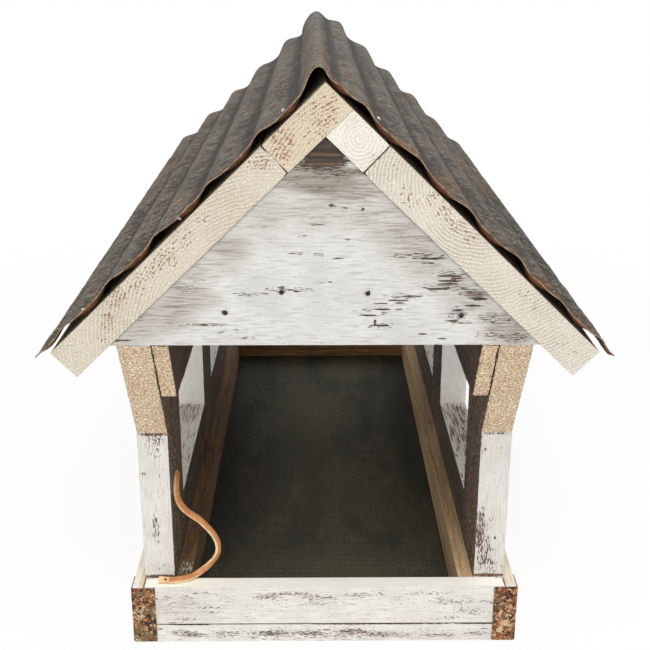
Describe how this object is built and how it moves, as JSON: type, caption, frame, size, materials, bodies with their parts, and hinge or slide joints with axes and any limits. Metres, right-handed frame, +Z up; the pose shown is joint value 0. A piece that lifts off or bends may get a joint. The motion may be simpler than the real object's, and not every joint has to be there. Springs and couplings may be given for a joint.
{
  "type": "fly-through bird feeder",
  "caption": "Fly-through tray bird feeder of whitewashed reclaimed boards with a mesh floor, posts, gables and a corrugated metal roof over boards.",
  "frame": {"origin": "centre of the bounding box's base, under the middle of the tray", "axes": "+X to the right, +Y to the back along the ridge, +Z up; the front gable faces -Y"},
  "size_m": [0.389, 0.69, 0.4495],
  "materials": {
    "whitewashed_wood": "worn whitewash over reclaimed softwood, matte",
    "dark_stained_wood": "dark brown weathered board, matte",
    "roof_board_wood": "sawn softwood, pale end grain, matte",
    "screen": "dark grey-green insect screen",
    "rusty_tin": "rusted tin plate, rough",
    "weathered_sheet": "weathered grey-brown corrugated sheet with rust, rough",
    "leather": "tan leather lace"
  },
  "bodies": {
    "root": {"front_base_strip": "whitewashed_wood", "back_base_strip": "whitewashed_wood", "left_base_strip": "whitewashed_wood", "right_base_strip": "whitewashed_wood", "screen_floor": "screen", "front_rail": "whitewashed_wood", "back_rail": "whitewashed_wood", "left_side_rail": "whitewashed_wood", "right_side_rail": "whitewashed_wood", "left_inner_rail": "dark_stained_wood", "right_inner_rail": "dark_stained_wood", "front_left_strap": "rusty_tin", "front_right_strap": "rusty_tin", "back_left_strap": "rusty_tin", "back_right_strap": "rusty_tin", "front_left_post": "whitewashed_wood", "front_right_post": "whitewashed_wood", "middle_left_post": "whitewashed_wood", "middle_right_post": "whitewashed_wood", "back_left_post": "whitewashed_wood", "back_right_post": "whitewashed_wood", "front_left_side_board": "whitewashed_wood", "front_right_side_board": "whitewashed_wood", "back_left_side_board": "whitewashed_wood", "back_right_side_board": "whitewashed_wood", "left_top_plate": "dark_stained_wood", "right_top_plate": "dark_stained_wood", "front_gable": "whitewashed_wood", "back_gable": "whitewashed_wood", "left_lower_roof_board": "roof_board_wood", "left_upper_roof_board": "roof_board_wood", "right_lower_roof_board": "roof_board_wood", "right_upper_roof_board": "roof_board_wood", "roof_sheet": "weathered_sheet", "leather_lace": "leather"}
  },
  "joints": []
}
